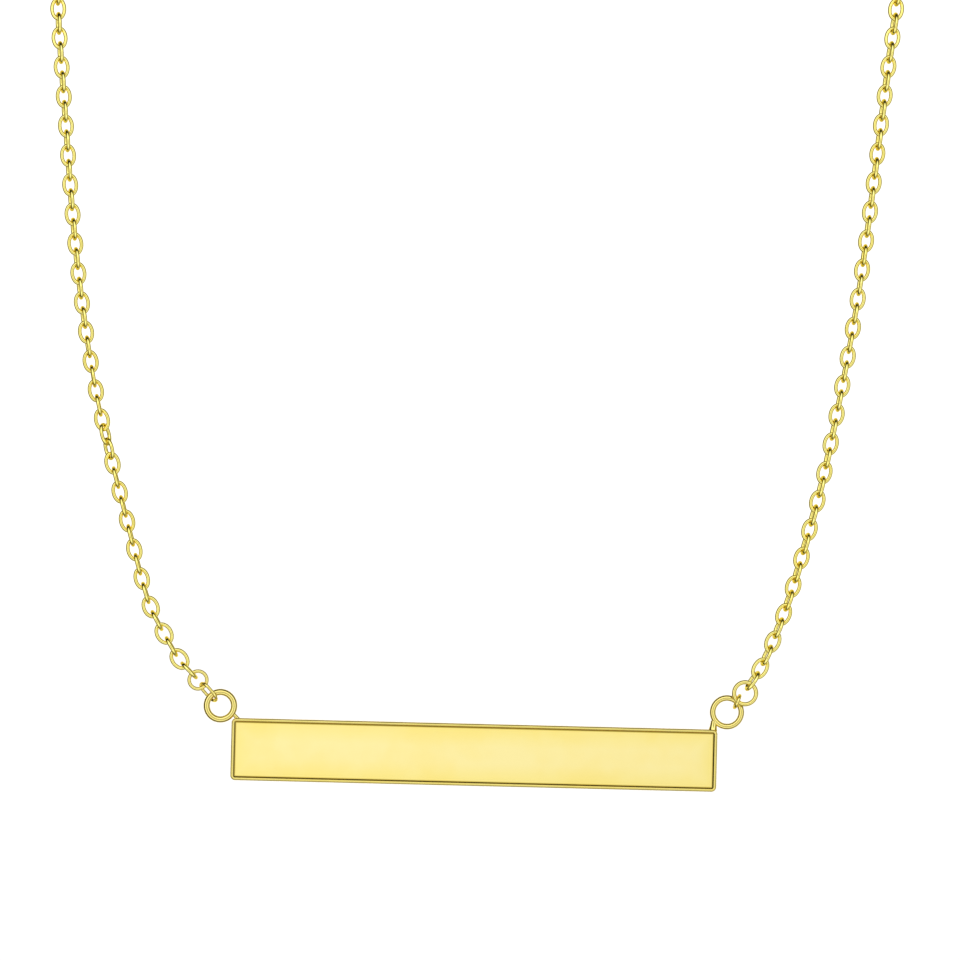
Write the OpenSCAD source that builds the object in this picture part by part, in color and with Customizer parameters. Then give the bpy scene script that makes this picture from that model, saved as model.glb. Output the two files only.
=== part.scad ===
// Bar pendant necklace: a polished bar with a raised rim, hung by two soldered eyelets from a fine
// cable chain that closes behind the neck with a ring clasp.
// Millimetres. X to the wearer's left, +Y to the back of the neck, Z up. The origin is the nape:
// the neck side of the clasp. The bar hangs level in front of it.

/* [Bar] */
// Length of the bar from end to end
bar_length = 34; // [32:0.5:36]
// Height of the bar
bar_height = 4.35; // [4.2:0.05:4.5]
// Thickness of the bar from front to back
bar_thickness = 0.8; // [0.7:0.05:1]
// Radius of the bar's outline at its four corners
corner_radius = 0.34; // [0.3:0.02:0.5]
// Width of the raised rim round the field
rim_width = 0.28; // [0.2:0.02:0.4]
// Depth of the flat field below the rim's crest
field_depth = 0.12; // [0.08:0.01:0.2]

/* [Eyelets] */
// Wire radius of the left eyelet
left_eyelet_wire = 0.22; // [0.2:0.01:0.22]
// Wire radius of the right eyelet
right_eyelet_wire = 0.2; // [0.18:0.01:0.21]
// Ring radius of the left eyelet, to the middle of its wire
left_eyelet_radius = 0.96; // [0.95:0.01:0.98]
// Ring radius of the right eyelet, to the middle of its wire
right_eyelet_radius = 1; // [0.98:0.01:1.02]

/* [Chain] */
// Outer length of a chain link
link_length = 1.64; // [1.62:0.01:1.68]
// Outer width of a chain link
link_width = 1.16; // [1.12:0.02:1.2]
// Wire diameter of a chain link
link_wire = 0.2; // [0.16:0.01:0.2]
// Distance from link to link in the left strand
left_pitch = 1.043; // [1.03:0.001:1.05]
// Distance from link to link in the right strand
right_pitch = 1.034; // [1.02:0.001:1.05]
// Number of links modelled in the front stretch of each strand
front_links = 50; // [10:1:52]
// Diameter of the plain tube that stands for the chain behind them
tube_diameter = 1.1; // [1:0.05:1.2]

/* [Rings] */
// Wire radius of the left end ring
left_ring_wire = 0.13; // [0.1:0.01:0.14]
// Wire radius of the right end ring
right_ring_wire = 0.15; // [0.12:0.01:0.16]
// Ring radius of the left end ring, to the middle of its wire
left_ring_radius = 0.62; // [0.6:0.01:0.65]
// Ring radius of the right end ring, to the middle of its wire
right_ring_radius = 0.77; // [0.75:0.01:0.79]
// Wire diameter of the two connecting links
joining_wire = 0.19; // [0.17:0.01:0.19]

/* [Clasp] */
// Ring radius of the clasp, to the middle of its tube
clasp_radius = 2.1; // [2:0.05:2.4]
// Tube radius of the clasp
clasp_tube = 0.45; // [0.4:0.05:0.5]
// Ring radius of the clasp's soldered eye
clasp_eye_radius = 0.65; // [0.6:0.01:0.7]
// Ring radius of the end ring that the clasp holds
end_ring_radius = 0.95; // [0.9:0.01:1.1]
// Wire radius of the eye and of that end ring
clasp_wire = 0.17; // [0.14:0.01:0.18]

/* [Hidden] */
gold = [0.93, 0.79, 0.36];
pale_gold = [0.96, 0.85, 0.48];
deep_gold = [0.86, 0.70, 0.28];

// Places beside the bar: how far outboard of the bar's end, how far behind its middle, how far above
OUT = 0;
BACK = 1;
UP = 2;
left_eyelet = [0.82, 0, 3.0];
right_eyelet = [0.634, 0, 3.406];
left_ring_place = [2.43, 0, 4.761];
right_ring_place = [1.853, -0.49, 4.78];

// The soldered stubs that carry the eyelets, foot and head: how far inboard of the bar's end, how far
// above the bar's middle, and the radius
INBOARD = 0;
HEIGHT = 1;
RADIUS = 2;
LEFT_STUB = [[0.5, bar_height / 2 - 0.15, 0.14], [0.04, 2.52, 0.13]];
RIGHT_STUB = [[0.32, bar_height / 2 - 0.1, 0.29], [0.19, 2.75, 0.22]];

// Route of the left strand in front, from the left end ring up
LEFT_FRONT = [
  [2.7, 0.05, 5.05], [3.8, 0.05, 6.2], [4.85, 0.05, 7.9], [5.8, 0.1, 9.6], [6.5, 0.15, 11.6],
  [7.6, 0.25, 15.5], [8.75, 0.4, 19.6], [10.05, 0.6, 24.6], [11.2, 0.95, 30.7], [12.05, 1.35, 37],
  [12.7, 1.85, 43.3], [13.35, 2.45, 49.7], [14.05, 3.9, 56.5], [16.8, 8.8, 67.5]
];
// Route of the right strand in front, from the right end ring up
RIGHT_FRONT = [
  [2.08, -0.48, 5.22], [2.95, -0.27, 6.65], [3.75, -0.1, 8.5], [4.45, 0.05, 10.4], [5.05, 0.15, 12.3],
  [6.1, 0.25, 16.3], [7.05, 0.4, 20.3], [8.15, 0.7, 26.3], [9.1, 1.05, 32.4], [9.85, 1.5, 38.7],
  [10.5, 2, 44.9], [11.2, 2.6, 51.2], [12.1, 3.9, 57], [15.6, 8.8, 68]
];
// Route of both strands over the collar and round the neck to the clasp
NECK_SIDE = [
  [21, 18.5, 80], [27, 32.5, 92], [31.2, 47.5, 101.2], [31.9, 61.5, 107.9],
  [29.2, 75, 113.2], [23.8, 86.5, 117.2], [14.4, 95, 119.2], [4, 99, 119.9], [-5, 100.3, 120],
  [-14, 100.45, 120]
];

// How a strand turns as it rises: height above the bar and the azimuth that its links face,
// from 0 at the front to 180 at the back
FACING = [[0, 0], [58, 0], [92, 45], [110, 95], [119, 160], [120, 180]];
// Turn of the links about their strand, by link number: the odd links, then the even ones. The left
// strand makes a quarter turn more at its 16th to 20th link. Links seen edge-on are turned a little
// past the quarter, so that both of their wires show.
LINK = 0;
ODD = 1;
EVEN = 2;
LEFT_TURN = [
  [0, 90, 0], [12, 94, 0], [15, 92, 0], [16, 75, -8], [17, 58, -30], [18, 30, -58], [19, 8, -80],
  [20, 0, -90], [26, 0, -104], [400, 0, -108]
];
RIGHT_TURN = [[0, 108, 0], [12, 106, 0], [24, 96, 0], [36, 100, 0], [50, 108, 0], [400, 108, 0]];
// How much wider the links are, by link number: the first ones of the left strand are rounder
LEFT_EXTRA = [[0, 0.16], [6, 0.1], [8, 0], [400, 0]];
RIGHT_EXTRA = [[0, 0], [400, 0]];

// The routes end behind the clasp, which fixes the place of the bar
route_end = NECK_SIDE[len(NECK_SIDE) - 1];
bar_place = [0, clasp_tube - route_end[BACK], -route_end[UP]];
// The bar's middle lies a little in front, so that its weight hangs straight below the eyelets
bar_forward = 0.05;
bar_front = -bar_thickness / 2 - bar_forward;
bar_back = bar_thickness / 2 - bar_forward;
// Sections of the bar from its back to its field: inset from the outline, and depth
SECTION = [
  [0.14, bar_back], [0.04, bar_back - 0.04], [0, bar_back - 0.13], [0, bar_front + 0.17],
  [0.04, bar_front + 0.06], [0.12, bar_front], [rim_width - 0.06, bar_front + 0.03],
  [rim_width, bar_front + field_depth]
];
INSET = 0;
DEPTH = 1;
corner_steps = 4;
least_corner = 0.06;

// The two connecting links: their outer length and width, and their turn about their length. The left
// one lies a little nearer to the eyelet than to the ring.
left_link_size = [1.76, 1.32];
right_link_size = [1.42, 1.12];
left_link_turn = 25;
right_link_turn = 20;
left_link_shift = -0.05;
joining_sides = 16;
joining_wire_sides = 6;

// The tubes stop short of their neighbours, and at last run level along the nape
link_sides = 12;
link_wire_sides = 5;
curve_steps = 12;
tube_sides = 8;
tube_rings = 40;
tube_gap = 0.15;
route_end_x = bar_length / 2 + route_end[OUT];

// The clasp holds the end ring with little play, and its eye is soldered on
solder_depth = 0.05;
clasp_play = 0.06;
eye_x = clasp_radius + clasp_tube + clasp_eye_radius - solder_depth;
end_ring_x = clasp_radius - clasp_tube - clasp_wire - clasp_play + end_ring_radius;

function unit(v) = v / norm(v);
function beside(side, p) = bar_place + [side * (bar_length / 2 + p[OUT]), p[BACK], p[UP]];

// Points of a smooth curve through the given ones
function curve(points) = let (last = len(points) - 1) concat([
  for (i = [0 : last - 1], j = [0 : curve_steps - 1])
    let (t = j / curve_steps, a = points[max(i - 1, 0)], b = points[i], c = points[i + 1],
         d = points[min(i + 2, last)])
      (2 * b + (c - a) * t + (2 * a - 5 * b + 4 * c - d) * t * t
        + (3 * b - a - 3 * c + d) * t * t * t) / 2
], [points[last]]);

// Running length along a row of points
function lengths(points, i = 0, sum = 0, done = []) = i == len(points) ? done :
  let (now = sum + (i == 0 ? 0 : norm(points[i] - points[i - 1])))
    lengths(points, i + 1, now, concat(done, [now]));

// A strand is three lookup tables of x, y and z over the length along its route
function strand(side, front) =
  let (points = curve([for (p = concat(front, NECK_SIDE)) beside(side, p)]), s = lengths(points))
    [for (j = [0 : 2]) [for (i = [0 : len(points) - 1]) [s[i], points[i][j]]]];
function along(tables, s) = [for (t = tables) lookup(s, t)];
function strand_length(tables) = tables[0][len(tables[0]) - 1][0];

// The way a link faces at a height above the bar, square to its own direction
function facing(side, dir, height) =
  let (az = lookup(height, FACING), out = [side * sin(az), -cos(az), 0])
    unit(out - dir * (out * dir));
function link_turn(rows, i) = lookup(i, [for (r = rows) [r[LINK], r[i % 2 == 0 ? EVEN : ODD]]]);
function turned(v, dir, angle) = v * cos(angle) + cross(dir, v) * sin(angle);

// Middle line of an oval link, as x, y and the outward direction at each of its corners
function oval(length, width, wire, sides) =
  let (a = (length - wire) / 2, b = (width - wire) / 2)
    [for (i = [0 : sides - 1])
      let (t = i * 360 / sides, v = unit([b * cos(t), a * sin(t)])) [a * cos(t), b * sin(t), v[0], v[1]]];

// The same for a link with straight sides and half-round ends
function long_round(length, width, wire, sides) =
  let (r = (width - wire) / 2, h = (length - wire) / 2 - r, half = sides / 2, step = 180 / (half - 1))
    [for (e = [1, -1], i = [0 : half - 1])
      let (a = -90 + i * step, v = [e * cos(a), e * sin(a)]) [v[0] * r + e * h, v[1] * r, v[0], v[1]]];

// Corner points of one link: middle, direction, the way it faces, middle line, wire
function link_points(middle, dir, face, line, wire, wire_sides) =
  let (across = cross(face, dir))
    [for (q = line, k = [0 : wire_sides - 1])
      let (a = k * 360 / wire_sides, out = cos(a) * wire / 2, up = sin(a) * wire / 2)
        middle + dir * (q[0] + out * q[2]) + across * (q[1] + out * q[3]) + face * up];

// Faces of a closed tube whose corner points run ring by ring
function loop_faces(first, sides, wire_sides) = [
  for (i = [0 : sides - 1], k = [0 : wire_sides - 1])
    let (a = first + i * wire_sides + k, b = first + i * wire_sides + (k + 1) % wire_sides,
         c = first + (i + 1) % sides * wire_sides + (k + 1) % wire_sides,
         d = first + (i + 1) % sides * wire_sides + k)
      each [[a, b, c], [a, c, d]]
];

module ring(radius, wire) {
  rotate_extrude($fn = 96) translate([radius, 0]) circle(r = wire, $fn = 32);
}

// A straight round stub at one end of the bar, which may taper
module stub(side, foot_and_head) {
  foot = foot_and_head[0];
  head = foot_and_head[1];
  run = foot[INBOARD] - head[INBOARD];
  rise = head[HEIGHT] - foot[HEIGHT];
  translate([side * (bar_length / 2 - foot[INBOARD]), 0, foot[HEIGHT]])
    rotate([0, side * atan2(run, rise), 0])
      cylinder(h = norm([run, rise]), r1 = foot[RADIUS], r2 = head[RADIUS], $fn = 32);
}

// Rounded rectangle at a given inset, at depth y, as points
function outline(inset, y) =
  let (r = max(corner_radius - inset, least_corner), x = bar_length / 2 - inset - r,
       z = bar_height / 2 - inset - r, corners = [[x, z, 0], [-x, z, 90], [-x, -z, 180], [x, -z, 270]])
    [for (c = corners, i = [0 : corner_steps])
      let (a = c[2] + i * 90 / corner_steps) [c[0] + r * cos(a), y, c[1] + r * sin(a)]];

module bar_body() {
  count = 4 * (corner_steps + 1);
  rows = len(SECTION);
  walls = [for (i = [0 : rows - 2], k = [0 : count - 1])
    let (a = i * count + k, b = i * count + (k + 1) % count)
      each [[a, b + count, b], [a, a + count, b + count]]];
  polyhedron(
    points = [for (s = SECTION) each outline(s[INSET], s[DEPTH])],
    faces = concat(walls, [[for (k = [0 : count - 1]) k]],
                   [[for (k = [count - 1 : -1 : 0]) (rows - 1) * count + k]])
  );
}

module eyelet(place, side, radius, wire) {
  translate([side * (bar_length / 2 + place[OUT]), place[BACK], place[UP]])
    rotate([90, 0, 0]) ring(radius, wire);
}

module bar() {
  color(pale_gold) translate(bar_place) union() {
    bar_body();
    eyelet(left_eyelet, -1, left_eyelet_radius, left_eyelet_wire);
    eyelet(right_eyelet, 1, right_eyelet_radius, right_eyelet_wire);
    stub(-1, LEFT_STUB);
    stub(1, RIGHT_STUB);
  }
}

module joining_link(middle, dir, face, size) {
  line = long_round(size[0], size[1], joining_wire, joining_sides);
  polyhedron(
    points = link_points(middle, dir, face, line, joining_wire, joining_wire_sides),
    faces = loop_faces(0, joining_sides, joining_wire_sides)
  );
}

// The long link between the left eyelet and the left end ring
module left_link() {
  eyelet_middle = beside(-1, left_eyelet);
  ring_middle = beside(-1, left_ring_place);
  dir = unit(ring_middle - eyelet_middle);
  a = eyelet_middle + dir * (left_eyelet_radius - left_eyelet_wire);
  b = ring_middle - dir * (left_ring_radius - left_ring_wire);
  face = turned(cross([0, 1, 0], dir), dir, left_link_turn);
  color(gold) joining_link((a + b) / 2 + dir * left_link_shift, dir, face, left_link_size);
}

module left_ring() {
  color(gold) translate(beside(-1, left_ring_place))
    rotate([90, 0, 0]) ring(left_ring_radius, left_ring_wire);
}

// The link that holds the right end ring in front of the right eyelet
module right_link() {
  eyelet_middle = beside(1, right_eyelet);
  ring_middle = beside(1, right_ring_place);
  flat = unit([ring_middle[0] - eyelet_middle[0], 0, ring_middle[2] - eyelet_middle[2]]);
  a = eyelet_middle + flat * right_eyelet_radius;
  b = ring_middle - flat * right_ring_radius;
  dir = unit(b - a);
  middle = (a + b + dir * (right_ring_wire - right_eyelet_wire)) / 2;
  face = turned(unit(cross(flat, dir)), dir, right_link_turn);
  color(gold) joining_link(middle, dir, face, right_link_size);
}

module right_ring() {
  color(gold) translate(beside(1, right_ring_place))
    rotate([90, 0, 0]) ring(right_ring_radius, right_ring_wire);
}

// The front links of a strand. Every other one is turned a quarter round the chain.
module front_chain(side, front, pitch, turn, extra) {
  tables = strand(side, front);
  link_corners = link_sides * link_wire_sides;
  points = [for (i = [1 : front_links])
    let (a = along(tables, (i - 1) * pitch), b = along(tables, i * pitch), dir = unit(b - a),
         face = turned(facing(side, dir, a[2] - bar_place[2]), dir, side * link_turn(turn, i)))
      each link_points((a + b) / 2, dir, face,
                       oval(link_length, link_width + lookup(i, extra), link_wire, link_sides),
                       link_wire, link_wire_sides)];
  polyhedron(
    points = points,
    faces = [for (i = [0 : front_links - 1]) each loop_faces(i * link_corners, link_sides, link_wire_sides)]
  );
}

module chain_left() {
  color(gold) front_chain(-1, LEFT_FRONT, left_pitch, LEFT_TURN, LEFT_EXTRA);
}

module chain_right() {
  color(gold) front_chain(1, RIGHT_FRONT, right_pitch, RIGHT_TURN, RIGHT_EXTRA);
}

// The plain tube along which the chain of a strand runs on, from the last link to the clasp
module back_chain(side, front, pitch, last_x) {
  tables = strand(side, front);
  start = (front_links - 0.5) * pitch + link_length / 2 + tube_gap;
  end = strand_length(tables) - (last_x - route_end_x);
  count = tube_rings * tube_sides;
  points = [for (i = [0 : tube_rings - 1])
    let (s = start + (end - start) * i / (tube_rings - 1), p = along(tables, s),
         dir = unit(along(tables, s + 0.1) - along(tables, s - 0.1)),
         face = facing(side, dir, p[2] - bar_place[2]), across = cross(face, dir))
      each [for (k = [0 : tube_sides - 1])
        let (a = (k + 0.5) * 360 / tube_sides) p + (face * cos(a) + across * sin(a)) * tube_diameter / 2]];
  walls = [for (i = [0 : tube_rings - 2], k = [0 : tube_sides - 1])
    let (a = i * tube_sides + k, b = i * tube_sides + (k + 1) % tube_sides)
      each [[a, b + tube_sides, b], [a, a + tube_sides, b + tube_sides]]];
  polyhedron(
    points = points,
    faces = concat(walls, [[for (k = [0 : tube_sides - 1]) k]],
                   [[for (k = [tube_sides - 1 : -1 : 0]) count - tube_sides + k]])
  );
}

module chain_left_back() {
  eye_end = eye_x + clasp_eye_radius + clasp_wire;
  color(deep_gold) back_chain(-1, LEFT_FRONT, left_pitch, eye_end + tube_gap);
}

module chain_right_back() {
  ring_end = end_ring_x + end_ring_radius + clasp_wire;
  color(deep_gold) back_chain(1, RIGHT_FRONT, right_pitch, ring_end + tube_gap);
}

// A plain ring clasp with its soldered eye
module clasp() {
  color(gold) translate([0, clasp_tube, 0]) rotate([90, 0, 0]) union() {
    ring(clasp_radius, clasp_tube);
    translate([-eye_x, 0, 0]) ring(clasp_eye_radius, clasp_wire);
  }
}

// The ring at the end of the right strand, which the clasp holds
module end_ring() {
  color(gold) translate([end_ring_x, clasp_tube, 0]) ring(end_ring_radius, clasp_wire);
}

bar();
left_link();
right_link();
left_ring();
right_ring();
chain_left();
chain_right();
chain_left_back();
chain_right_back();
clasp();
end_ring();
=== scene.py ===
"""Bar pendant necklace in polished yellow gold, dressed for its final render.

A level bar with a raised rim hangs by two soldered eyelets from a fine cable chain that closes behind
the neck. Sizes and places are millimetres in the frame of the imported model, X to the wearer's left,
+Y to the back of the neck and Z up, and become metres where a mesh is made.
"""

from __future__ import annotations

import logging
from dataclasses import dataclass, field
from enum import Enum

import bpy
import numpy as np
from mathutils import Matrix

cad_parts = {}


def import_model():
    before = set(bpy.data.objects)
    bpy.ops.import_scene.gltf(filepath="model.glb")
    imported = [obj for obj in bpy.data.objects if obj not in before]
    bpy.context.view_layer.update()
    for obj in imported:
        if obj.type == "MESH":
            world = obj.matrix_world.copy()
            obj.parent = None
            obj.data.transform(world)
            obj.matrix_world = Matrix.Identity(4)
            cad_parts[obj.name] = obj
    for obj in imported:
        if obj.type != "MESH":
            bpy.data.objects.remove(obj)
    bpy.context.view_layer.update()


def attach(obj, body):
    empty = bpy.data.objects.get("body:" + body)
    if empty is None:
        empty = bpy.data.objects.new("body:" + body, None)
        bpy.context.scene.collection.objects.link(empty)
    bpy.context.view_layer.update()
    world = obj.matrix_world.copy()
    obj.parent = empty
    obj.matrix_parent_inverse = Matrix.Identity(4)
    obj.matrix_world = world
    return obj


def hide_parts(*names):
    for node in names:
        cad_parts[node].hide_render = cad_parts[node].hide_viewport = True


LOG = logging.getLogger("necklace")
MM = 0.001
RGB = tuple[float, float, float]
Row = tuple[float, ...]

BODY_OF_CHAIN = "chain"
BODY_OF_BAR = "bar"
BAR_PLACE = np.array([0.0, -100.0, -120.0])
BAR_LENGTH = 34.0
BAR_HEIGHT = 4.35
BACK = np.array([0.0, 1.0, 0.0])


class Side(Enum):
    """The two sides of the necklace, as seen in the photograph."""

    LEFT = -1
    RIGHT = 1


class Grain(Enum):
    """What the last tool left on a polished surface."""

    BUFFED = "buffed"
    DRAWN = "drawn"


def unit(vector: np.ndarray) -> np.ndarray:
    """Returns the vector at length one."""
    return vector / np.linalg.norm(vector)


def turned(vector: np.ndarray, axis: np.ndarray, degrees: float) -> np.ndarray:
    """Turns a vector about an axis that is square to it.

    Args:
        vector: What is turned.
        axis: A unit vector square to it.
        degrees: How far it turns.

    Returns:
        The turned vector.
    """
    angle = np.radians(degrees)
    return vector * np.cos(angle) + np.cross(axis, vector) * np.sin(angle)


def table(rows: tuple[Row, ...], at: float, column: int = 1) -> float:
    """Looks up a value between the rows of a table whose first column rises."""
    return float(np.interp(at, [row[0] for row in rows], [row[column] for row in rows]))


class Socket:
    """An output in a node tree, on which arithmetic adds Math nodes."""

    def __init__(self, tree: "Tree", output: bpy.types.NodeSocket) -> None:
        """Keeps the tree and the output that is wrapped."""
        self.tree = tree
        self.output = output

    def _math(self, operation: str, first: "Socket | float", second: "Socket | float") -> "Socket":
        """Adds one Math node."""
        return self.tree.add("ShaderNodeMath", {"operation": operation}, {0: first, 1: second})

    def __add__(self, other: "Socket | float") -> "Socket":
        """This plus the other."""
        return self._math("ADD", self, other)

    def __radd__(self, other: float) -> "Socket":
        """The other plus this."""
        return self._math("ADD", other, self)

    def __sub__(self, other: "Socket | float") -> "Socket":
        """This less the other."""
        return self._math("SUBTRACT", self, other)

    def __rsub__(self, other: float) -> "Socket":
        """The other less this."""
        return self._math("SUBTRACT", other, self)

    def __mul__(self, other: "Socket | float") -> "Socket":
        """This times the other."""
        return self._math("MULTIPLY", self, other)

    def __rmul__(self, other: float) -> "Socket":
        """The other times this."""
        return self._math("MULTIPLY", other, self)

    def __abs__(self) -> "Socket":
        """The size of this without its sign."""
        return self._math("ABSOLUTE", self, 0.0)


class Tree:
    """A node tree, with one method that adds any node and a few that name common uses of it."""

    def __init__(self, tree: bpy.types.NodeTree) -> None:
        """Empties the tree and keeps it."""
        self.tree = tree
        tree.nodes.clear()

    def add(self, kind: str, settings: dict | None = None, sockets: dict | None = None,
            output: int | str = 0) -> Socket:
        """Adds a node, sets its settings first and then its sockets.

        Args:
            kind: The node's type.
            settings: Its settings by name; "stops" holds a ramp's positions and colours.
            sockets: Values or Sockets by the input's name or number.
            output: Which output is wanted.

        Returns:
            That output, or for a node without outputs the node's first input.
        """
        node = self.tree.nodes.new(kind)
        for name, value in (settings or {}).items():
            if name == "stops":
                self._set_stops(node.color_ramp, value)
            else:
                setattr(node, name, value)
        for name, value in (sockets or {}).items():
            if isinstance(value, Socket):
                self.tree.links.new(value.output, node.inputs[name])
            else:
                node.inputs[name].default_value = value
        return Socket(self, node.outputs[output] if node.outputs else node.inputs[0])

    @staticmethod
    def _set_stops(ramp: bpy.types.ColorRamp, stops: list[tuple[float, RGB]]) -> None:
        """Gives a colour ramp its stops."""
        while len(ramp.elements) < len(stops):
            ramp.elements.new(1.0)
        for element, (position, colour) in zip(ramp.elements, stops):
            element.position = position
            element.color = (*colour, 1.0)

    def step(self, value: Socket, low: float, high: float, start: float = 0.0, end: float = 1.0) -> Socket:
        """Passes a value smoothly from start to end while it goes from low to high."""
        return self.add("ShaderNodeMapRange", {"interpolation_type": "SMOOTHSTEP"},
                        {0: value, 1: low, 2: high, 3: start, 4: end})

    def mix(self, factor: Socket, first: RGB, second: RGB) -> Socket:
        """Mixes two colours."""
        return self.add("ShaderNodeMix", {"data_type": "RGBA"},
                        {0: factor, 6: (*first, 1.0), 7: (*second, 1.0)}, output=2)

    def noise(self, where: Socket, size_mm: float, detail: float, roughness: float = 0.5) -> Socket:
        """Adds soft noise whose features have about the given size."""
        return self.add("ShaderNodeTexNoise", {"noise_dimensions": "3D"},
                        {"Vector": where, "Scale": 1.0 / (size_mm * MM), "Detail": detail,
                         "Roughness": roughness})

    def split(self, vector: Socket) -> tuple[Socket, ...]:
        """Splits a vector into its three components."""
        node = self.add("ShaderNodeSeparateXYZ", {}, {0: vector}).output.node
        return tuple(Socket(self, node.outputs[axis]) for axis in "XYZ")

    def stretched(self, where: Socket, scale: RGB) -> Socket:
        """Scales coordinates differently along the three axes."""
        return self.add("ShaderNodeVectorMath", {"operation": "MULTIPLY"}, {0: where, 1: scale})


# Sizes of the noises that every finish has, in millimetres
CLOUD_SIZE = 2.6
SMUDGE_SIZE = 1.1
BUFFED_MARK_SIZE = 0.06
DRAWN_MARK_SIZE = 0.09
# The buffing marks run long along the bar
BUFFED_STRETCH = (0.06, 1.0, 1.0)
# Where the clouds and the smudges start and are full
CLOUD_REACH = (0.35, 0.7)
SMUDGE_REACH = (0.45, 0.75)
SMUDGE_SHARE = 0.6
# Depth behind the bar's middle where the painted shade and sheen of its front give way to the plain back
PAINTED_FRONT_DEPTH = (0.24, 0.29)
PAST_PAINTED_FRONT = 2.0


@dataclass(frozen=True)
class GoldFinish:
    """Polished yellow gold, with the faint marks that its last tool left.

    Attributes:
        name: The material's name.
        colour: Clean metal.
        deep: Metal with a trace of tone in it.
        edge: Tint of the metal where it is seen at a glancing angle.
        roughness: Mean roughness of the polish.
        haze: How much the roughness varies.
        ripple: Height of the broad unevenness, in millimetres.
        ripple_size: Size of that unevenness, in millimetres.
        mark: Height of the fine marks, in millimetres.
        grain: Which marks there are.
        painted_shade_and_sheen: Colours multiplied into the front by distance inside the bar's outline in
            millimetres, painting shade at the rim's foot and sheen on the field; none if empty.
    """

    name: str
    colour: RGB
    deep: RGB
    edge: RGB
    roughness: float
    haze: float
    ripple: float
    ripple_size: float
    mark: float
    grain: Grain
    # Painted shade and sheen of the front, by distance inside the outline
    painted_shade_and_sheen: tuple[tuple[float, RGB], ...] = ()

    def _paint_shade_and_sheen(self, tree: Tree, where: Socket, base: Socket) -> Socket:
        """Paints light and shade into the colour: the rim and eyelets deepened back to plain gold, painted
        shade in a dark band at the rim's foot, and painted sheen that pales the field from its edges to
        its middle.

        Args:
            tree: The material's tree.
            where: Coordinates in the frame.
            base: The untinted colour.

        Returns:
            The tinted colour.
        """
        x, y, z = tree.split(where)
        inside_x = BAR_LENGTH / 2 * MM - abs(x)
        inside_z = BAR_HEIGHT / 2 * MM - abs(z - BAR_PLACE[2] * MM)
        inside = tree.add("ShaderNodeMath", {"operation": "MINIMUM"}, {0: inside_x, 1: inside_z})
        reach = self.painted_shade_and_sheen[-1][0]
        behind = tree.step(y, *((BAR_PLACE[1] + depth) * MM for depth in PAINTED_FRONT_DEPTH))
        place = inside * (1.0 / (reach * MM)) + behind * PAST_PAINTED_FRONT
        stops = [(inset / reach, painted) for inset, painted in self.painted_shade_and_sheen]
        # The ramp paints shade at the rim's foot and sheen on the field; the back lies past its end and
        # stays plain
        painted = tree.add("ShaderNodeValToRGB", {"stops": stops}, {"Fac": place})
        return tree.add("ShaderNodeMix", {"data_type": "RGBA", "blend_type": "MULTIPLY"},
                        {0: 1.0, 6: base, 7: painted}, output=2)

    def material(self) -> bpy.types.Material:
        """Makes the material of this finish."""
        material = bpy.data.materials.new(self.name)
        material.use_nodes = True
        tree = Tree(material.node_tree)
        where = tree.add("ShaderNodeTexCoord", output="Object")
        cloud = tree.noise(where, CLOUD_SIZE, 3.0)
        if self.grain is Grain.BUFFED:
            marks = tree.noise(tree.stretched(where, BUFFED_STRETCH), BUFFED_MARK_SIZE, 4.0, 0.65)
        else:
            marks = tree.noise(where, DRAWN_MARK_SIZE, 3.0, 0.6)
        ripple = tree.noise(where, self.ripple_size, 1.5)
        tone = tree.step(cloud, *CLOUD_REACH)
        smudge = tree.step(tree.noise(where, SMUDGE_SIZE, 4.0, 0.6), *SMUDGE_REACH)
        roughness = self.roughness + (smudge * SMUDGE_SHARE + marks * (1 - SMUDGE_SHARE)) * self.haze
        height = ripple * self.ripple + marks * self.mark
        normal = tree.add("ShaderNodeBump", {}, {"Strength": 1.0, "Distance": MM, "Height": height})
        base = tree.mix(tone, self.colour, self.deep)
        # Painted shade and sheen on the bar's front
        if self.painted_shade_and_sheen:
            base = self._paint_shade_and_sheen(tree, where, base)
        surface = tree.add("ShaderNodeBsdfPrincipled", {}, {
            "Base Color": base,
            "Metallic": 1.0,
            "Roughness": roughness,
            "Specular Tint": (*self.edge, 1.0),
            "Normal": normal,
        })
        tree.add("ShaderNodeOutputMaterial", {}, {"Surface": surface})
        return material


# Distance inside the bar's outline, and the colour multiplied in there: the rim and eyelets deepened back
# to plain gold, painted shade in the dark band at the rim's foot, and painted sheen rising to the field's
# pale middle
BAR_PAINTED_SHADE_AND_SHEEN = (
    (0.0, (0.93, 0.91, 0.66)), (0.2, (0.93, 0.90, 0.62)), (0.24, (0.66, 0.58, 0.26)),
    (0.31, (0.66, 0.58, 0.26)), (0.36, (0.99, 0.96, 0.72)), (1.6, (1.0, 1.0, 1.0)),
)
# The bar's gold is paler than the chain's: real gold with the painted sheen of its field, deepened again
# on the rim and eyelets by the ramp above
BAR_GOLD = GoldFinish(
    name="bar_polished_gold", colour=(0.99, 0.86, 0.38), deep=(0.99, 0.84, 0.33), edge=(0.9, 0.7, 0.3),
    roughness=0.05, haze=0.04, ripple=0.002, ripple_size=3.0, mark=0.00005, grain=Grain.BUFFED,
    painted_shade_and_sheen=BAR_PAINTED_SHADE_AND_SHEEN)
CHAIN_GOLD = GoldFinish(
    name="chain_drawn_gold", colour=(1.0, 0.89, 0.27), deep=(1.0, 0.86, 0.22), edge=(0.85, 0.65, 0.2),
    roughness=0.05, haze=0.06, ripple=0.002, ripple_size=0.5, mark=0.0002, grain=Grain.DRAWN)
RING_GOLD = GoldFinish(
    name="ring_drawn_gold", colour=(0.96, 0.83, 0.26), deep=(0.96, 0.80, 0.21), edge=(0.85, 0.65, 0.22),
    roughness=0.04, haze=0.05, ripple=0.0015, ripple_size=0.6, mark=0.00015, grain=Grain.DRAWN)


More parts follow.
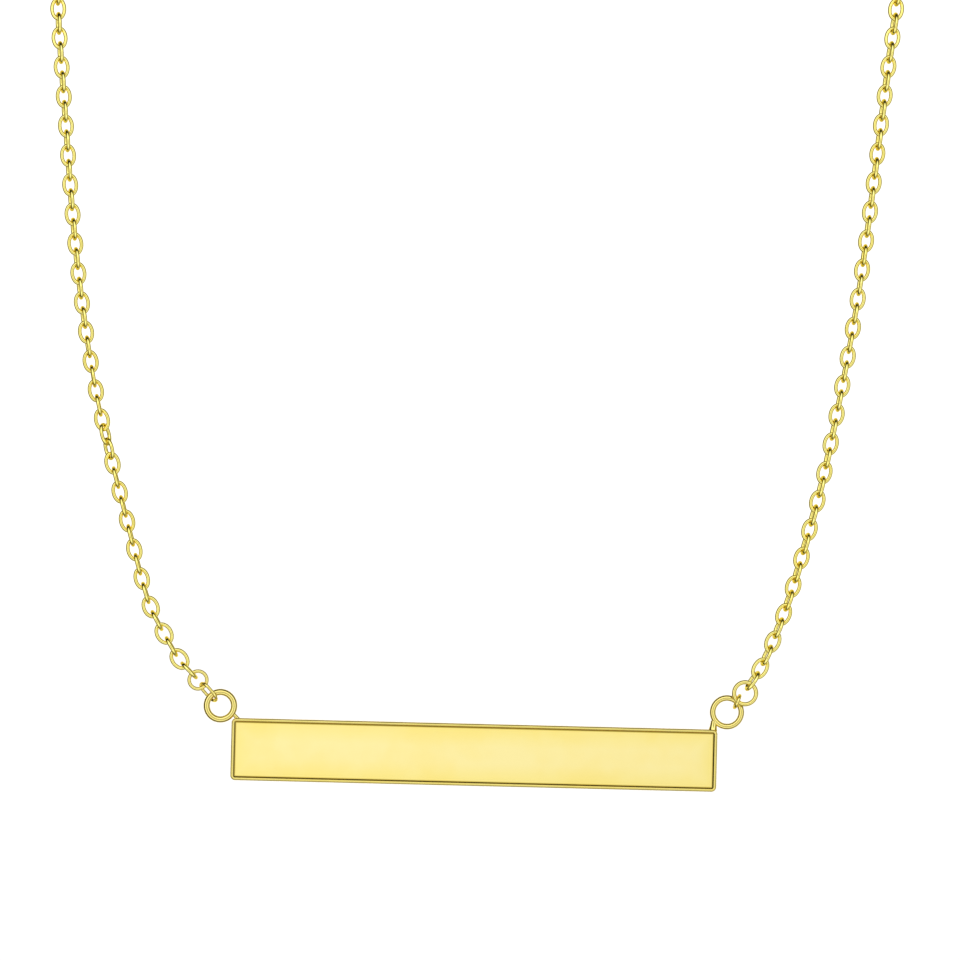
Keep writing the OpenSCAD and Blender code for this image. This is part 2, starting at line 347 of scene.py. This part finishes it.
@dataclass
class Shell:
    """Points and faces that are gathered, in millimetres, until they become one mesh."""

    points: list[np.ndarray] = field(default_factory=list)
    faces: list[tuple[int, ...]] = field(default_factory=list)
    count: int = 0

    def add(self, points: np.ndarray, faces: list[tuple[int, ...]]) -> None:
        """Adds points and the faces between them."""
        self.points.append(points)
        self.faces += [tuple(corner + self.count for corner in face) for face in faces]
        self.count += len(points)

    def add_rows(self, rows: np.ndarray, closed: bool) -> None:
        """Adds the skin between rings of points.

        Args:
            rows: Rings of points, all with the same number, as an array of rings by points by 3.
            closed: Whether the last ring meets the first; otherwise both ends are capped.
        """
        rings, around = rows.shape[:2]
        faces: list[tuple[int, ...]] = []
        for ring in range(rings if closed else rings - 1):
            here = ring * around
            there = (ring + 1) % rings * around
            for corner in range(around):
                after = (corner + 1) % around
                faces.append((here + corner, there + corner, there + after, here + after))
        if not closed:
            faces.append(tuple(range(around)))
            faces.append(tuple((rings - 1) * around + corner for corner in reversed(range(around))))
        self.add(rows.reshape(-1, 3), faces)

    def add_tube(self, middle: np.ndarray, outward: np.ndarray, up: np.ndarray, radius: float,
                 sides: int) -> None:
        """Adds a round wire that closes on itself.

        Args:
            middle: Points along the middle of the wire.
            outward: The outward direction at each of them.
            up: The direction square to the ring.
            radius: Radius of the wire.
            sides: Corners of its section.
        """
        angles = np.linspace(0.0, 2 * np.pi, sides, endpoint=False)
        rows = (middle[:, None] + outward[:, None] * np.cos(angles)[None, :, None] * radius
                + up[None, None] * np.sin(angles)[None, :, None] * radius)
        self.add_rows(rows, closed=True)

    def build(self, name: str) -> bpy.types.Object:
        """Makes the object, in metres and shaded smooth."""
        mesh = bpy.data.meshes.new(name)
        mesh.from_pydata((np.concatenate(self.points) * MM).tolist(), [], self.faces)
        mesh.polygons.foreach_set("use_smooth", [True] * len(mesh.polygons))
        made = bpy.data.objects.new(name, mesh)
        bpy.context.scene.collection.objects.link(made)
        return made


def outward_faces(made: bpy.types.Object) -> None:
    """Turns a closed mesh inside in where its faces look inward."""
    mesh = made.data
    volume = 0.0
    for polygon in mesh.polygons:
        corners = [mesh.vertices[index].co for index in polygon.vertices]
        for second, third in zip(corners[1:], corners[2:]):
            volume += corners[0].dot(second.cross(third))
    if volume < 0:
        mesh.flip_normals()


def add_ring(shell: Shell, middle: np.ndarray, axis: np.ndarray, radius: float, wire: float,
             around: int = 96, sides: int = 24) -> None:
    """Adds a round ring of round wire.

    Args:
        shell: Where it is added.
        middle: Its middle.
        axis: The direction square to it.
        radius: Radius to the middle of the wire.
        wire: Radius of the wire.
        around: Rings of points along the wire.
        sides: Corners of the wire's section.
    """
    first = unit(np.cross(axis, [0.31, 0.17, 0.93]))
    second = np.cross(axis, first)
    angles = np.linspace(0.0, 2 * np.pi, around, endpoint=False)[:, None]
    outward = first * np.cos(angles) + second * np.sin(angles)
    shell.add_tube(middle + outward * radius, outward, axis, wire, sides)


class Form(Enum):
    """The form of a link's middle line."""

    OVAL = "oval"
    LONG_ROUND = "long round"


@dataclass(frozen=True)
class Link:
    """A closed link of round wire.

    Attributes:
        length: Outer length.
        width: Outer width.
        wire: Diameter of its wire.
        form: An oval, or straight sides with half-round ends.
    """

    length: float
    width: float
    wire: float
    form: Form = Form.OVAL

    def _line(self, around: int) -> tuple[np.ndarray, np.ndarray]:
        """Lays out the middle line.

        Args:
            around: Number of points on it.

        Returns:
            Points and outward directions, both as rows of along and across.
        """
        long_half = (self.length - self.wire) / 2
        short_half = (self.width - self.wire) / 2
        if self.form is Form.OVAL:
            angles = np.linspace(0.0, 2 * np.pi, around, endpoint=False)
            outward = np.column_stack([short_half * np.cos(angles), long_half * np.sin(angles)])
            outward /= np.linalg.norm(outward, axis=1)[:, None]
            return np.column_stack([long_half * np.cos(angles), short_half * np.sin(angles)]), outward
        half = np.radians(np.linspace(-90.0, 90.0, around // 2))
        angles = np.concatenate([half, half + np.pi])
        outward = np.column_stack([np.cos(angles), np.sin(angles)])
        ends = np.repeat([1.0, -1.0], around // 2)[:, None] * [long_half - short_half, 0.0]
        return outward * short_half + ends, outward

    def add_to(self, shell: Shell, middle: np.ndarray, along: np.ndarray, face: np.ndarray,
               around: int, sides: int) -> None:
        """Adds this link.

        Args:
            shell: Where it is added.
            middle: The link's middle.
            along: Its long direction.
            face: The direction that it faces.
            around: Rings of points along the wire.
            sides: Corners of the wire's section.
        """
        plane = np.array([along, np.cross(face, along)])
        line, outward = self._line(around)
        shell.add_tube(middle + line @ plane, outward @ plane, face, self.wire / 2, sides)


# Places beside the bar: how far outboard of the bar's end, how far behind its middle, how far above
LEFT_FRONT: tuple[Row, ...] = (
    (2.7, 0.05, 5.05), (3.8, 0.05, 6.2), (4.85, 0.05, 7.9), (5.8, 0.1, 9.6), (6.5, 0.15, 11.6),
    (7.6, 0.25, 15.5), (8.75, 0.4, 19.6), (10.05, 0.6, 24.6), (11.2, 0.95, 30.7), (12.05, 1.35, 37),
    (12.7, 1.85, 43.3), (13.35, 2.45, 49.7), (14.05, 3.9, 56.5), (16.8, 8.8, 67.5),
)
RIGHT_FRONT: tuple[Row, ...] = (
    (2.08, -0.48, 5.22), (2.95, -0.27, 6.65), (3.75, -0.1, 8.5), (4.45, 0.05, 10.4), (5.05, 0.15, 12.3),
    (6.1, 0.25, 16.3), (7.05, 0.4, 20.3), (8.15, 0.7, 26.3), (9.1, 1.05, 32.4), (9.85, 1.5, 38.7),
    (10.5, 2, 44.9), (11.2, 2.6, 51.2), (12.1, 3.9, 57), (15.6, 8.8, 68),
)
NECK_SIDE: tuple[Row, ...] = (
    (21, 18.5, 80), (27, 32.5, 92), (31.2, 47.5, 101.2), (31.9, 61.5, 107.9),
    (29.2, 75, 113.2), (23.8, 86.5, 117.2), (14.4, 95, 119.2), (4, 99, 119.9), (-5, 100.3, 120),
    (-14, 100.45, 120),
)
# Height above the bar, and the azimuth that a strand's links face there
FACING: tuple[Row, ...] = ((0, 0), (58, 0), (92, 45), (110, 95), (119, 160), (120, 180))
# Link number, turn of the odd links, turn of the even links
LEFT_TURN: tuple[Row, ...] = (
    (0, 90, 0), (12, 94, 0), (15, 92, 0), (16, 75, -8), (17, 58, -30), (18, 30, -58), (19, 8, -80),
    (20, 0, -90), (26, 0, -104), (150, 0, -108), (180, 0, -90),
)
RIGHT_TURN: tuple[Row, ...] = (
    (0, 108, 0), (12, 106, 0), (24, 96, 0), (36, 100, 0), (50, 108, 0), (150, 108, 0), (180, 90, 0),
)
# Link number, and how much wider than the rest such a link is
LEFT_EXTRA: tuple[Row, ...] = ((0, 0.16), (6, 0.1), (8, 0))
RIGHT_EXTRA: tuple[Row, ...] = ((0, 0), (8, 0))


def beside(side: Side, place: Row) -> np.ndarray:
    """Turns a place beside the bar into a point of the frame."""
    return BAR_PLACE + np.array([side.value * (BAR_LENGTH / 2 + place[0]), place[1], place[2]])


@dataclass
class Clasp:
    """The plain ring clasp at the nape, its soldered eye and the end ring that it holds.

    Attributes:
        radius: Ring radius to the middle of the tube.
        tube: Radius of the tube.
        eye_radius: Ring radius of the eye.
        end_ring_radius: Ring radius of the end ring.
        wire: Wire radius of the eye and the end ring.
        solder: How deep the eye sits in the solder.
        play: Room between the clasp and the end ring.
    """

    radius: float = 2.1
    tube: float = 0.45
    eye_radius: float = 0.65
    end_ring_radius: float = 0.95
    wire: float = 0.17
    solder: float = 0.05
    play: float = 0.06

    @property
    def eye_x(self) -> float:
        """How far the eye's middle lies to the left of the clasp's."""
        return self.radius + self.tube + self.eye_radius - self.solder

    @property
    def end_ring_x(self) -> float:
        """How far the end ring's middle lies to the right of the clasp's."""
        return self.radius - self.tube - self.wire - self.play + self.end_ring_radius

    def hook_x(self, side: Side, link_wire: float, room: float) -> float:
        """Says where the wire of a strand's last link lies inside the ring that it hooks."""
        if side is Side.LEFT:
            reach = self.eye_x + self.eye_radius
        else:
            reach = self.end_ring_x + self.end_ring_radius
        return reach - self.wire - link_wire / 2 - room

    def build_clasp(self) -> bpy.types.Object:
        """Makes the clasp with its eye."""
        shell = Shell()
        add_ring(shell, np.array([0.0, self.tube, 0.0]), BACK, self.radius, self.tube, 128, 40)
        add_ring(shell, np.array([-self.eye_x, self.tube, 0.0]), BACK, self.eye_radius, self.wire)
        return shell.build("clasp_ring")

    def build_end_ring(self) -> bpy.types.Object:
        """Makes the end ring of the right strand."""
        shell = Shell()
        middle = np.array([self.end_ring_x, self.tube, 0.0])
        add_ring(shell, middle, np.array([0.0, 0.0, 1.0]), self.end_ring_radius, self.wire)
        return shell.build("clasp_end_ring")


@dataclass
class Strand:
    """One strand of the cable chain, from the end ring beside the bar round the neck to the clasp.

    Attributes:
        side: Which side of the necklace it is on.
        front: Its route up the chest.
        turns: How its links are turned.
        extra: Which of its links are wider.
        pitch: Distance from link to link in front.
        front_links: Number of links in the front piece.
        link: The plain link.
        room: Room between the last link and the ring that it hooks.
        curve_steps: Points of the route between two of its stops.
        front_mesh: Rings along a front link's wire, and corners of its section.
        back_mesh: The same for the links further back.
    """

    side: Side
    front: tuple[Row, ...]
    turns: tuple[Row, ...]
    extra: tuple[Row, ...]
    pitch: float
    front_links: int = 50
    link: Link = Link(1.66, 1.14, 0.27)
    room: float = 0.02
    curve_steps: int = 12
    front_mesh: tuple[int, int] = (48, 16)
    back_mesh: tuple[int, int] = (24, 10)

    def __post_init__(self) -> None:
        """Lays the route as a smooth curve and measures along it."""
        stops = np.array([beside(self.side, place) for place in self.front + NECK_SIDE])
        self.points = self._curve(stops)
        steps = np.linalg.norm(np.diff(self.points, axis=0), axis=1)
        self.lengths = np.concatenate([[0.0], np.cumsum(steps)])

    def _curve(self, stops: np.ndarray) -> np.ndarray:
        """Draws a smooth curve through the stops of the route."""
        last = len(stops) - 1
        points = []
        for index in range(last):
            before = stops[max(index - 1, 0)]
            here = stops[index]
            ahead = stops[index + 1]
            beyond = stops[min(index + 2, last)]
            for step in range(self.curve_steps):
                t = step / self.curve_steps
                points.append((2 * here + (ahead - before) * t
                               + (2 * before - 5 * here + 4 * ahead - beyond) * t ** 2
                               + (3 * here - before - 3 * ahead + beyond) * t ** 3) / 2)
        points.append(stops[last])
        return np.array(points)

    def at(self, length: float) -> np.ndarray:
        """Returns the point at a length along the route."""
        return np.array([np.interp(length, self.lengths, self.points[:, axis]) for axis in range(3)])

    def add_link(self, shell: Shell, number: int, start: float, end: float, around: int,
                 sides: int) -> None:
        """Adds one link between two lengths along the route.

        Args:
            shell: Where it is added.
            number: The link's number, from 1 beside the bar.
            start: Length along the route where the link's share begins.
            end: Length where it ends.
            around: Rings of points along the wire.
            sides: Corners of the wire's section.
        """
        first = self.at(start)
        second = self.at(end)
        along = unit(second - first)
        azimuth = np.radians(table(FACING, first[2] - BAR_PLACE[2]))
        out = np.array([self.side.value * np.sin(azimuth), -np.cos(azimuth), 0.0])
        face = unit(out - along * out.dot(along))
        turn = table(self.turns, number, 2 if number % 2 == 0 else 1)
        face = turned(face, along, self.side.value * turn)
        wider = Link(self.link.length, self.link.width + table(self.extra, number), self.link.wire)
        wider.add_to(shell, (first + second) / 2, along, face, around, sides)

    def build_front(self) -> bpy.types.Object:
        """Makes the front stretch, link by link."""
        shell = Shell()
        for number in range(1, self.front_links + 1):
            self.add_link(shell, number, (number - 1) * self.pitch, number * self.pitch, *self.front_mesh)
        return shell.build(f"front_chain_{self.side.name.lower()}")

    def build_back(self, clasp: Clasp) -> bpy.types.Object:
        """Makes the rest of the strand, whose last link hooks the clasp's eye or the end ring.

        Args:
            clasp: What the strand closes with.

        Returns:
            The back stretch, with a whole and even number of links.
        """
        hook = clasp.hook_x(self.side, self.link.wire, self.room)
        route_end = BAR_LENGTH / 2 + NECK_SIDE[-1][0]
        last_middle = self.lengths[-1] - (hook - route_end) - (self.link.length - self.link.wire) / 2
        first_middle = (self.front_links - 0.5) * self.pitch
        count = 2 * round((last_middle - first_middle) / self.pitch / 2)
        pitch = (last_middle - first_middle) / count
        LOG.info("%s strand: %d back links at %.3f mm", self.side.name.lower(), count, pitch)
        shell = Shell()
        for index in range(1, count + 1):
            middle = first_middle + index * pitch
            number = self.front_links + index
            self.add_link(shell, number, middle - pitch / 2, middle + pitch / 2, *self.back_mesh)
        return shell.build(f"back_chain_{self.side.name.lower()}")


@dataclass(frozen=True)
class Eyelet:
    """A round eyelet and the soldered stub that carries it, which flares towards both its ends.

    Attributes:
        side: The end of the bar that it stands at.
        place: Its middle, beside the bar.
        radius: Ring radius to the middle of the wire.
        wire: Radius of the wire.
        foot: The stub's foot: how far inboard of the bar's end, how high, and its radius.
        head: The same for the stub's head.
        waist: The stub's radius halfway up, as a share of an even taper.
    """

    side: Side
    place: Row
    radius: float
    wire: float
    foot: Row
    head: Row
    waist: float = 0.9

    @property
    def middle(self) -> np.ndarray:
        """Its middle in the frame."""
        return beside(self.side, self.place)

    def _stub_end(self, end: Row) -> np.ndarray:
        """Returns the middle of one end of the stub."""
        return BAR_PLACE + np.array([self.side.value * (BAR_LENGTH / 2 - end[0]), 0.0, end[1]])

    def build_stub(self) -> bpy.types.Object:
        """Makes the stub."""
        start = self._stub_end(self.foot)
        end = self._stub_end(self.head)
        along = unit(end - start)
        across = np.cross(along, BACK)
        angles = np.linspace(0.0, 2 * np.pi, 32, endpoint=False)[:, None]
        circle = across * np.cos(angles) + BACK * np.sin(angles)
        rows = []
        for share in np.linspace(0.0, 1.0, 9):
            radius = self.foot[2] + (self.head[2] - self.foot[2]) * share
            radius *= self.waist + (1 - self.waist) * (2 * share - 1) ** 2
            rows.append(start + (end - start) * share + circle * radius)
        shell = Shell()
        shell.add_rows(np.array(rows), closed=False)
        return shell.build(f"{self.side.name.lower()}_stub")

    def build_ring(self) -> bpy.types.Object:
        """Makes the eyelet."""
        shell = Shell()
        add_ring(shell, self.middle, BACK, self.radius, self.wire, 128, 32)
        return shell.build(f"{self.side.name.lower()}_eyelet")


LEFT_EYELET = Eyelet(Side.LEFT, (0.82, 0.0, 3.0), radius=0.96, wire=0.22,
                     foot=(0.5, BAR_HEIGHT / 2 - 0.15, 0.16), head=(0.04, 2.52, 0.14))
RIGHT_EYELET = Eyelet(Side.RIGHT, (0.634, 0.0, 3.406), radius=1.0, wire=0.2,
                      foot=(0.33, BAR_HEIGHT / 2 - 0.1, 0.32), head=(0.25, 2.78, 0.22))


@dataclass
class Bar:
    """The bar with its raised rim, its two eyelets and the stubs that carry them, soldered together.

    Attributes:
        height: Height of the bar.
        thickness: Thickness from front to back.
        forward: How far the bar's middle lies in front of the eyelets.
        corner: Radius of the outline's corners.
        least_corner: Radius that those corners keep further inside.
        edge: Radius of the broken edge at the back.
        rim_rise: How far the rim's outer round reaches back.
        crest: How far the rim's crest lies inside the outline.
        rim_width: Width of the rim.
        field_depth: Depth of the field below the crest.
        shoulder: Radius of the inner round of the rim.
        fillet: Radius of the fillet at the foot of the rim.
        crown: How far the middle of the field stands proud of its edges.
        spine: Half the height of the flat strip along the middle of the field and of the back.
        edge_land: Flat strip of the back beside its broken edge.
        corner_steps: Faces round each corner.
        crown_shares: Shares of the way from the rim to the spine where the crown has its edges.
    """

    height: float = BAR_HEIGHT
    thickness: float = 0.8
    forward: float = 0.05
    corner: float = 0.34
    least_corner: float = 0.05
    edge: float = 0.13
    rim_rise: float = 0.17
    crest: float = 0.12
    rim_width: float = 0.3
    field_depth: float = 0.13
    shoulder: float = 0.11
    fillet: float = 0.03
    crown: float = 0.012
    spine: float = 0.1
    edge_land: float = 0.03
    corner_steps: int = 10
    crown_shares: Row = (0.03, 0.1, 0.2, 0.35, 0.5, 0.7, 0.85, 1.0)

    @property
    def front(self) -> float:
        """Where the rim's crest lies."""
        return -self.thickness / 2 - self.forward

    @property
    def back(self) -> float:
        """Where the flat back lies."""
        return self.thickness / 2 - self.forward

    @staticmethod
    def _round(middle: tuple[float, float], radii: tuple[float, float], start: float, end: float,
               steps: int) -> list[tuple[float, float]]:
        """Lays points on a quarter round of the bar's section.

        Args:
            middle: Its middle, as inset and depth.
            radii: Its radii along inset and depth.
            start: Angle where it starts.
            end: Angle where it ends.
            steps: How many faces it has.

        Returns:
            Points as inset and depth.
        """
        angles = np.radians(np.linspace(start, end, steps + 1))
        return [(middle[0] + radii[0] * np.cos(a), middle[1] + radii[1] * np.sin(a)) for a in angles]

    def section(self) -> list[tuple[float, float]]:
        """Lays out the section from the middle of the back to the middle of the field.

        Returns:
            Insets from the outline, and depths.
        """
        floor = self.front + self.field_depth
        spine = self.height / 2 - self.spine
        points = [(spine, self.back), (self.edge + self.edge_land, self.back)]
        points += self._round((self.edge, self.back - self.edge), (self.edge, self.edge), 90, 180, 8)
        points += self._round((self.crest, self.front + self.rim_rise), (self.crest, self.rim_rise),
                              180, 270, 12)
        points += self._round((self.crest, self.front + self.shoulder), (self.shoulder, self.shoulder),
                              270, 320, 6)[1:]
        points += self._round((self.rim_width, floor - self.fillet), (self.fillet, self.fillet),
                              130, 90, 4)
        reach = spine - self.rim_width
        for share in self.crown_shares:
            proud = self.crown * (1 - (1 - share) ** 2)
            points.append((self.rim_width + share * reach, floor - proud))
        return points

    def outline(self, inset: float, depth: float) -> np.ndarray:
        """Lays out the bar's rounded outline at an inset and a depth."""
        radius = max(self.corner - inset, self.least_corner)
        x = BAR_LENGTH / 2 - inset - radius
        z = self.height / 2 - inset - radius
        points = []
        for sign_x, sign_z, start in ((1, 1, 0), (-1, 1, 90), (-1, -1, 180), (1, -1, 270)):
            for angle in np.radians(np.linspace(start, start + 90, self.corner_steps + 1)):
                points.append((sign_x * x + radius * np.cos(angle), depth,
                               sign_z * z + radius * np.sin(angle)))
        return np.array(points)

    def build(self) -> bpy.types.Object:
        """Makes the bar with its eyelets as one soldered solid."""
        body = Shell()
        rows = np.array([self.outline(*row) for row in self.section()]) + BAR_PLACE
        body.add_rows(rows, closed=False)
        made = body.build("bar_with_eyelets")
        outward_faces(made)
        for eyelet in (LEFT_EYELET, RIGHT_EYELET):
            for build_part in (eyelet.build_stub, eyelet.build_ring):
                part = build_part()
                outward_faces(part)
                self._solder(made, part)
        made.data.set_sharp_from_angle(angle=np.radians(40))
        return made

    @staticmethod
    def _solder(made: bpy.types.Object, part: bpy.types.Object) -> None:
        """Joins a part to the bar as one solid."""
        join = made.modifiers.new("solder", "BOOLEAN")
        join.operation = "UNION"
        join.solver = "EXACT"
        join.object = part
        evaluated = made.evaluated_get(bpy.context.evaluated_depsgraph_get())
        joined = bpy.data.meshes.new_from_object(evaluated)
        made.modifiers.clear()
        made.data = joined
        bpy.data.objects.remove(part)


@dataclass(frozen=True)
class EndRing:
    """The ring at the end of a strand, beside the bar.

    Attributes:
        side: Which strand it ends.
        place: Its middle, beside the bar.
        radius: Ring radius to the middle of the wire.
        wire: Radius of the wire.
    """

    side: Side
    place: Row
    radius: float
    wire: float

    @property
    def middle(self) -> np.ndarray:
        """Its middle in the frame."""
        return beside(self.side, self.place)

    def build(self) -> bpy.types.Object:
        """Makes the ring."""
        shell = Shell()
        add_ring(shell, self.middle, BACK, self.radius, self.wire)
        return shell.build(f"end_ring_{self.side.name.lower()}")


@dataclass
class Joinings:
    """The end rings of the two strands and the connecting links that hang the bar from them.

    Attributes:
        left_ring: The left end ring.
        right_ring: The right end ring, which hangs in front of its eyelet.
        left_link: The left connecting link.
        right_link: The right connecting link.
        left_turn: How far the left link is turned about its length.
        right_turn: The same for the right one.
        left_shift: How much nearer to the ring the left link lies.
        link_mesh: Rings along a link's wire, and corners of its section.
    """

    left_ring: EndRing = EndRing(Side.LEFT, (2.43, 0.0, 4.761), 0.62, 0.13)
    right_ring: EndRing = EndRing(Side.RIGHT, (1.853, -0.49, 4.78), 0.77, 0.15)
    left_link: Link = Link(1.76, 1.32, 0.23, Form.LONG_ROUND)
    right_link: Link = Link(1.42, 1.12, 0.23, Form.LONG_ROUND)
    left_turn: float = 25.0
    right_turn: float = 20.0
    left_shift: float = -0.05
    link_mesh: tuple[int, int] = (64, 20)

    def build_left_link(self, eyelet: Eyelet) -> bpy.types.Object:
        """Makes the link between the left eyelet and its end ring."""
        ring = self.left_ring
        along = unit(ring.middle - eyelet.middle)
        start = eyelet.middle + along * (eyelet.radius - eyelet.wire)
        end = ring.middle - along * (ring.radius - ring.wire)
        middle = (start + end) / 2 + along * self.left_shift
        face = turned(np.cross(BACK, along), along, self.left_turn)
        shell = Shell()
        self.left_link.add_to(shell, middle, along, face, *self.link_mesh)
        return shell.build("connecting_link_left")

    def build_right_link(self, eyelet: Eyelet) -> bpy.types.Object:
        """Makes the link that holds the right end ring in front of its eyelet."""
        ring = self.right_ring
        flat = unit((ring.middle - eyelet.middle) * [1.0, 0.0, 1.0])
        start = eyelet.middle + flat * eyelet.radius
        end = ring.middle - flat * ring.radius
        along = unit(end - start)
        middle = (start + end + along * (ring.wire - eyelet.wire)) / 2
        face = turned(unit(np.cross(flat, along)), along, self.right_turn)
        shell = Shell()
        self.right_link.add_to(shell, middle, along, face, *self.link_mesh)
        return shell.build("connecting_link_right")


# Each passage of the studio's light: from and to along a direction, and strength before and after
SIDES_ACROSS = (-0.7, 0.8, 0.06, 0.30)
SIDES_UP = (-0.8, 0.8, 1.4, 0.25)
FRONT_RISE = (0.38, 0.54)
CORE_FALL = (0.007, 0.013, 1.0, 0.0)
SHADE_END = (0.12, 0.19)
OUTER_FALL = (0.38, 0.55)
BACK_GLOW = (-0.66, -0.5, 0.9, 0.0)
UPWARD_GAIN = (-0.6, 0.5, 0.88, 1.06)
SIDEWAYS_GAIN = (-0.04, 0.04, 1.02, 0.95)
# The front light's strength, and what its core, the shade round that and its outer parts lose
FRONT_STRENGTH = 1.45
CORE_LOSS = 0.40
SHADE_LOSS = 1.0
OUTER_LOSS = 0.33
# How far below straight ahead the core lies
CORE_DROP = 0.03
# What the floor and the background get
PLAIN_STRENGTH = 1.15


@dataclass
class Studio:
    """A white studio: a pale floor, soft light from all round with darker sides, and the camera.

    Attributes:
        floor_level: Height of the floor.
        floor_half: Half its width.
        camera_place: Where the camera stands.
        lens: Its focal length.
        roll: How far it is rolled, which puts the bar's right end lower in the picture.
    """

    floor_level: float = -160.0
    floor_half: float = 3000.0
    camera_place: RGB = (-0.043, -700.0, -100.765)
    lens: float = 321.5
    roll: float = 1.4

    def build(self) -> None:
        """Builds the floor, the light and the camera."""
        self._floor()
        self._surroundings()
        self._camera()

    def _floor(self) -> None:
        """Lays the pale floor."""
        shell = Shell()
        half = self.floor_half
        corners = np.array([(x, y, self.floor_level) for x, y in
                            ((-half, -half), (half, -half), (half, half), (-half, half))])
        shell.add(corners, [(0, 1, 2, 3)])
        floor = shell.build("studio_floor")
        material = bpy.data.materials.new("studio_floor_white")
        material.use_nodes = True
        tree = Tree(material.node_tree)
        surface = tree.add("ShaderNodeBsdfDiffuse", {}, {"Color": (0.92, 0.92, 0.92, 1.0)})
        tree.add("ShaderNodeOutputMaterial", {}, {"Surface": surface})
        floor.data.materials.append(material)
        floor.visible_glossy = False

    def _surroundings(self) -> None:
        """Lights the scene from all round, with what the polished metal mirrors."""
        world = bpy.data.worlds.new("studio")
        world.use_nodes = True
        bpy.context.scene.world = world
        tree = Tree(world.node_tree)
        direction = tree.add("ShaderNodeTexCoord", output="Generated")
        x, y, z = tree.split(direction)
        ahead = 0.0 - y
        above = z + CORE_DROP
        aside = x * x + above * above
        sides = tree.step(x, *SIDES_ACROSS) * tree.step(z, *SIDES_UP)
        front = tree.step(ahead, *FRONT_RISE)
        core = tree.step(aside, *CORE_FALL)
        shade = 1.0 - core - tree.step(aside, *SHADE_END)
        outer = tree.step(aside, *OUTER_FALL)
        bright = FRONT_STRENGTH - core * CORE_LOSS - shade * SHADE_LOSS - outer * OUTER_LOSS
        level = front * bright + (1.0 - front) * sides + tree.step(ahead, *BACK_GLOW)
        level = level * tree.step(z, *UPWARD_GAIN) * tree.step(x, *SIDEWAYS_GAIN)
        path = tree.add("ShaderNodeLightPath").output.node
        seen = Socket(tree, path.outputs["Is Camera Ray"])
        soft = Socket(tree, path.outputs["Is Diffuse Ray"])
        plain = seen + soft
        strength = level * (1.0 - plain) + plain * PLAIN_STRENGTH
        light = tree.add("ShaderNodeBackground", {}, {"Color": (1.0, 1.0, 1.0, 1.0), "Strength": strength})
        tree.add("ShaderNodeOutputWorld", {}, {"Surface": light})

    def _camera(self) -> None:
        """Stands the camera where the photograph was taken from."""
        data = bpy.data.cameras.new("photo_camera")
        data.lens = self.lens
        data.sensor_width = 36.0
        data.clip_start = 0.01
        data.clip_end = 100.0
        camera = bpy.data.objects.new("photo_camera", data)
        place = Matrix.Translation([value * MM for value in self.camera_place])
        upright = Matrix.Rotation(np.radians(90), 4, "X")
        camera.matrix_world = place @ upright @ Matrix.Rotation(np.radians(self.roll), 4, "Z")
        bpy.context.scene.collection.objects.link(camera)
        bpy.context.scene.camera = camera
        bpy.context.scene.view_settings.view_transform = "Standard"


def dress(piece: bpy.types.Object, material: bpy.types.Material, body: str, node: str) -> None:
    """Gives a piece its material, its body and the node that it stands for.

    Args:
        piece: The piece.
        material: Its material.
        body: The body that it rides on.
        node: The node that it replaces.
    """
    piece.data.materials.clear()
    piece.data.materials.append(material)
    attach(piece, body)
    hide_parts(node)
    LOG.info("%s: %d faces, rides on %s", piece.name, len(piece.data.polygons), body)


def main() -> None:
    """Builds the necklace piece by piece, then the studio."""
    logging.basicConfig(level=logging.INFO, format="%(name)s: %(message)s")
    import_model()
    bar_gold = BAR_GOLD.material()
    chain_gold = CHAIN_GOLD.material()
    ring_gold = RING_GOLD.material()
    dress(Bar().build(), bar_gold, BODY_OF_BAR, "bar")
    joinings = Joinings()
    dress(joinings.left_ring.build(), ring_gold, BODY_OF_CHAIN, "left_ring")
    dress(joinings.right_ring.build(), ring_gold, BODY_OF_CHAIN, "right_ring")
    dress(joinings.build_left_link(LEFT_EYELET), ring_gold, BODY_OF_CHAIN, "left_link")
    dress(joinings.build_right_link(RIGHT_EYELET), ring_gold, BODY_OF_CHAIN, "right_link")
    clasp = Clasp()
    dress(clasp.build_clasp(), ring_gold, BODY_OF_CHAIN, "clasp")
    dress(clasp.build_end_ring(), ring_gold, BODY_OF_CHAIN, "end_ring")
    for strand in (Strand(Side.LEFT, LEFT_FRONT, LEFT_TURN, LEFT_EXTRA, 1.043),
                   Strand(Side.RIGHT, RIGHT_FRONT, RIGHT_TURN, RIGHT_EXTRA, 1.034)):
        name = f"chain_{strand.side.name.lower()}"
        dress(strand.build_front(), chain_gold, BODY_OF_CHAIN, name)
        dress(strand.build_back(clasp), chain_gold, BODY_OF_CHAIN, f"{name}_back")
    Studio().build()


if __name__ == "__main__":
    main()
